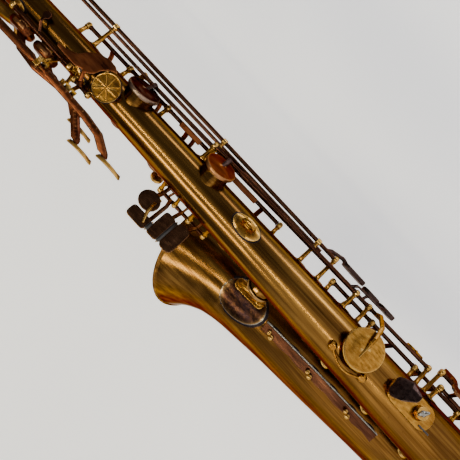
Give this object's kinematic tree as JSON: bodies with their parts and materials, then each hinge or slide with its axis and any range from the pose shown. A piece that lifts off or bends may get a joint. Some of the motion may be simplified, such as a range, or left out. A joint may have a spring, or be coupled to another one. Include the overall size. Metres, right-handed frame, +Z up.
{
  "type": "baritone saxophone",
  "caption": "Aged brass baritone saxophone with looped upper bow, flared bell, neck, mouthpiece and a full set of hinged keys.",
  "frame": {"origin": "at the middle of the floor guard's flat underside, the lowest face, on which the instrument stands", "axes": "+Z up along the body tube; the player stands at +Y and the bell hangs at -Y; +X is the player's left"},
  "size_m": [0.181, 0.485, 1.133],
  "materials": {
    "aged_brass": "aged, lacquer worn away, streaked",
    "bright_brass": "worn, warm yellow",
    "copper_keys": "copper-toned, hand worn",
    "dark_keys": "dark patina",
    "cork": "natural cork",
    "ebonite": "polished hard rubber",
    "cane": "dry cane"
  },
  "bodies": {
    "saxophone_body": {"body_tube": "aged_brass", "bottom_bow": "aged_brass", "bell": "aged_brass", "upper_bow": "aged_brass", "body_bow_ferrule": "bright_brass", "bell_bow_ferrule": "bright_brass", "upper_bow_ferrule": "bright_brass", "neck_receiver": "bright_brass", "bell_brace_plate": "aged_brass", "bell_brace": "bright_brass", "strap_ring": "bright_brass", "thumb_rest": "bright_brass", "thumb_hook": "bright_brass", "trill_guard": "bright_brass", "bell_key_rib": "copper_keys", "bow_guard": "bright_brass", "bell_key_guard": "bright_brass"},
    "neck_body": {"neck": "bright_brass", "neck_cork": "cork"},
    "mouthpiece_body": {"mouthpiece": "ebonite", "reed": "cane", "ligature": "bright_brass"},
    "clamp_screw_body": {"neck_clamp_screw": "bright_brass"},
    "hook_screw_body": {"thumb_hook_screw": "bright_brass"},
    "C_key_body": {"C_key": "copper_keys"},
    "B_key_body": {"B_key": "copper_keys"},
    "A_key_body": {"A_key": "copper_keys"},
    "G_key_body": {"G_key": "copper_keys"},
    "F_sharp_key_body": {"F_sharp_key": "copper_keys"},
    "F_key_body": {"F_key": "copper_keys"},
    "E_key_body": {"E_key": "copper_keys"},
    "D_key_body": {"D_key": "copper_keys"},
    "low_B_key_body": {"low_B_key": "copper_keys"},
    "low_Bb_key_body": {"low_Bb_key": "copper_keys"},
    "low_C_key_body": {"low_C_key": "dark_keys"},
    "palm_D_key_body": {"palm_D_key": "copper_keys"},
    "palm_Eb_key_body": {"palm_Eb_key": "copper_keys"},
    "palm_F_key_body": {"palm_F_key": "copper_keys"},
    "high_E_key_body": {"high_E_key": "dark_keys"},
    "side_C_key_body": {"side_C_key": "copper_keys"},
    "side_Bb_key_body": {"side_Bb_key": "copper_keys"},
    "trill_F_sharp_key_body": {"trill_F_sharp_key": "bright_brass"},
    "octave_lever_body": {"octave_lever": "copper_keys"},
    "body_octave_key_body": {"body_octave_key": "dark_keys"},
    "neck_octave_key_body": {"neck_octave_key": "bright_brass"},
    "G_sharp_key_body": {"G_sharp_key": "dark_keys"},
    "low_C_sharp_lever_body": {"low_C_sharp_lever": "dark_keys"},
    "low_B_lever_body": {"low_B_lever": "dark_keys"},
    "low_Bb_lever_body": {"low_Bb_lever": "dark_keys"},
    "low_C_sharp_key_body": {"low_C_sharp_key": "copper_keys"},
    "low_Eb_key_body": {"low_Eb_key": "dark_keys"},
    "water_key_body": {"water_key": "bright_brass"}
  },
  "joints": [
    {"name": "neck_swivel", "type": "hinge", "parent": "saxophone_body", "child": "neck_body", "pos_m": [-0.036, 0.0645, 1.03518], "axis": [0, 0, 1], "range_deg": [-40, 40]},
    {"name": "mouthpiece_slide", "type": "slide", "parent": "neck_body", "child": "mouthpiece_body", "axis": [0, 0.9903, -0.1392], "range_m": [0, 0.008]},
    {"name": "clamp_screw_turn", "type": "hinge", "parent": "saxophone_body", "child": "clamp_screw_body", "pos_m": [-0.036, 0.084, 1.02318], "axis": [1, 0, 0], "range_deg": [-90, 90]},
    {"name": "hook_screw_turn", "type": "hinge", "parent": "saxophone_body", "child": "hook_screw_body", "pos_m": [0, 0.10541, 0.26918], "axis": [0, 1, 0], "continuous": true},
    {"name": "C_key_hinge", "type": "hinge", "parent": "saxophone_body", "child": "C_key_body", "pos_m": [-0.0387, 0.06615, 0.81618], "axis": [0.019, -0.0062, 0.9998], "range_deg": [0, 8]},
    {"name": "B_key_hinge", "type": "hinge", "parent": "saxophone_body", "child": "B_key_body", "pos_m": [-0.04, 0.06657, 0.74768], "axis": [0.019, -0.0062, 0.9998], "range_deg": [0, 8]},
    {"name": "A_key_hinge", "type": "hinge", "parent": "saxophone_body", "child": "A_key_body", "pos_m": [-0.04137, 0.06702, 0.67518], "axis": [0.019, -0.0062, 0.9998], "range_deg": [0, 8]},
    {"name": "G_key_hinge", "type": "hinge", "parent": "saxophone_body", "child": "G_key_body", "pos_m": [-0.04321, 0.06761, 0.57868], "axis": [0.019, -0.0062, 0.9998], "range_deg": [0, 8]},
    {"name": "F_sharp_key_hinge", "type": "hinge", "parent": "saxophone_body", "child": "F_sharp_key_body", "pos_m": [-0.04667, 0.06874, 0.39618], "axis": [0.019, -0.0062, 0.9998], "range_deg": [0, 8]},
    {"name": "F_key_hinge", "type": "hinge", "parent": "saxophone_body", "child": "F_key_body", "pos_m": [-0.04802, 0.06918, 0.32518], "axis": [0.019, -0.0062, 0.9998], "range_deg": [0, 8]},
    {"name": "E_key_hinge", "type": "hinge", "parent": "saxophone_body", "child": "E_key_body", "pos_m": [-0.04942, 0.06963, 0.25118], "axis": [0.019, -0.0062, 0.9998], "range_deg": [0, 8]},
    {"name": "D_key_hinge", "type": "hinge", "parent": "saxophone_body", "child": "D_key_body", "pos_m": [-0.05079, 0.07008, 0.17918], "axis": [0.019, -0.0062, 0.9998], "range_deg": [0, 8]},
    {"name": "low_B_key_hinge", "type": "hinge", "parent": "saxophone_body", "child": "low_B_key_body", "pos_m": [-0.02, -0.0155, 0.32018], "axis": [0, 0, 1], "range_deg": [0, 8]},
    {"name": "low_Bb_key_hinge", "type": "hinge", "parent": "saxophone_body", "child": "low_Bb_key_body", "pos_m": [-0.02, -0.0155, 0.41768], "axis": [0, 0, 1], "range_deg": [0, 8]},
    {"name": "low_C_key_hinge", "type": "hinge", "parent": "saxophone_body", "child": "low_C_key_body", "pos_m": [-0.062, 0.0885, 0.20718], "axis": [0, 0, 1], "range_deg": [0, 3.4]},
    {"name": "palm_D_key_hinge", "type": "hinge", "parent": "saxophone_body", "child": "palm_D_key_body", "pos_m": [0.03429, 0.05505, 0.81518], "axis": [0.309, 0.9511, 0], "range_deg": [0, 6]},
    {"name": "palm_Eb_key_hinge", "type": "hinge", "parent": "saxophone_body", "child": "palm_Eb_key_body", "pos_m": [0.04047, 0.07407, 0.79718], "axis": [0.309, 0.9511, 0], "range_deg": [0, 5]},
    {"name": "palm_F_key_hinge", "type": "hinge", "parent": "saxophone_body", "child": "palm_F_key_body", "pos_m": [0.04711, 0.09452, 0.83318], "axis": [0.309, 0.9511, 0], "range_deg": [0, 4]},
    {"name": "high_E_key_hinge", "type": "hinge", "parent": "saxophone_body", "child": "high_E_key_body", "pos_m": [-0.05791, 0.0808, 0.71518], "axis": [0.0142, -0.0046, 0.9999], "range_deg": [0, 7]},
    {"name": "side_C_key_hinge", "type": "hinge", "parent": "saxophone_body", "child": "side_C_key_body", "pos_m": [-0.04974, 0.07394, 0.57068], "axis": [0.0282, -0.0092, 0.9996], "range_deg": [0, 7]},
    {"name": "side_Bb_key_hinge", "type": "hinge", "parent": "saxophone_body", "child": "side_Bb_key_body", "pos_m": [-0.04709, 0.08833, 0.52343], "axis": [0.0221, -0.0072, 0.9997], "range_deg": [0, 7]},
    {"name": "trill_F_sharp_key_hinge", "type": "hinge", "parent": "saxophone_body", "child": "trill_F_sharp_key_body", "pos_m": [-0.05658, 0.07616, 0.32868], "axis": [0.0282, -0.0092, 0.9996], "range_deg": [0, 7]},
    {"name": "octave_lever_hinge", "type": "hinge", "parent": "saxophone_body", "child": "octave_lever_body", "pos_m": [0.02702, 0.08528, 0.79018], "axis": [-0.0198, 0.0064, 0.9998], "range_deg": [0, 5]},
    {"name": "body_octave_key_hinge", "type": "hinge", "parent": "saxophone_body", "child": "body_octave_key_body", "pos_m": [0.02196, 0.08988, 0.86218], "axis": [0.0122, 0.0199, -0.9997], "range_deg": [0, 8]},
    {"name": "neck_octave_key_hinge", "type": "hinge", "parent": "neck_body", "child": "neck_octave_key_body", "pos_m": [-0.036, 0.07262, 1.11609], "axis": [1, 0, 0], "range_deg": [0, 4]},
    {"name": "G_sharp_key_hinge", "type": "hinge", "parent": "saxophone_body", "child": "G_sharp_key_body", "pos_m": [0.01, 0.02177, 0.55718], "axis": [0, -0.0079, -1], "range_deg": [0, 7]},
    {"name": "low_C_sharp_lever_hinge", "type": "hinge", "parent": "saxophone_body", "child": "low_C_sharp_lever_body", "pos_m": [0.019, 0.0125, 0.64143], "axis": [0, 0, -1], "range_deg": [0, 7]},
    {"name": "low_B_lever_hinge", "type": "hinge", "parent": "saxophone_body", "child": "low_B_lever_body", "pos_m": [0.019, 0.0125, 0.61493], "axis": [0, 0, -1], "range_deg": [0, 7]},
    {"name": "low_Bb_lever_hinge", "type": "hinge", "parent": "saxophone_body", "child": "low_Bb_lever_body", "pos_m": [0.019, 0.0125, 0.58843], "axis": [0, 0, -1], "range_deg": [0, 7]},
    {"name": "low_C_sharp_key_hinge", "type": "hinge", "parent": "saxophone_body", "child": "low_C_sharp_key_body", "pos_m": [-0.02, -0.0155, 0.23518], "axis": [0, 0, -1], "range_deg": [0, 8]},
    {"name": "low_Eb_key_hinge", "type": "hinge", "parent": "saxophone_body", "child": "low_Eb_key_body", "pos_m": [-0.04371, 0.095, 0.17568], "axis": [0.0136, 0, -0.9999], "range_deg": [0, 8]},
    {"name": "water_key_hinge", "type": "hinge", "parent": "saxophone_body", "child": "water_key_body", "pos_m": [0, -0.0347, 0.94218], "axis": [1, 0, 0], "range_deg": [0, 20]}
  ],
  "couplings": [
    {"joint": "F_sharp_key_hinge", "follows": "F_key_hinge", "ratio": 1},
    {"joint": "body_octave_key_hinge", "follows": "octave_lever_hinge", "ratio": 1.6},
    {"joint": "neck_octave_key_hinge", "follows": "octave_lever_hinge", "ratio": 0.8},
    {"joint": "low_C_sharp_key_hinge", "follows": "low_C_sharp_lever_hinge", "ratio": 1.142},
    {"joint": "low_B_key_hinge", "follows": "low_B_lever_hinge", "ratio": 1.142},
    {"joint": "low_Bb_key_hinge", "follows": "low_Bb_lever_hinge", "ratio": 1.142}
  ]
}
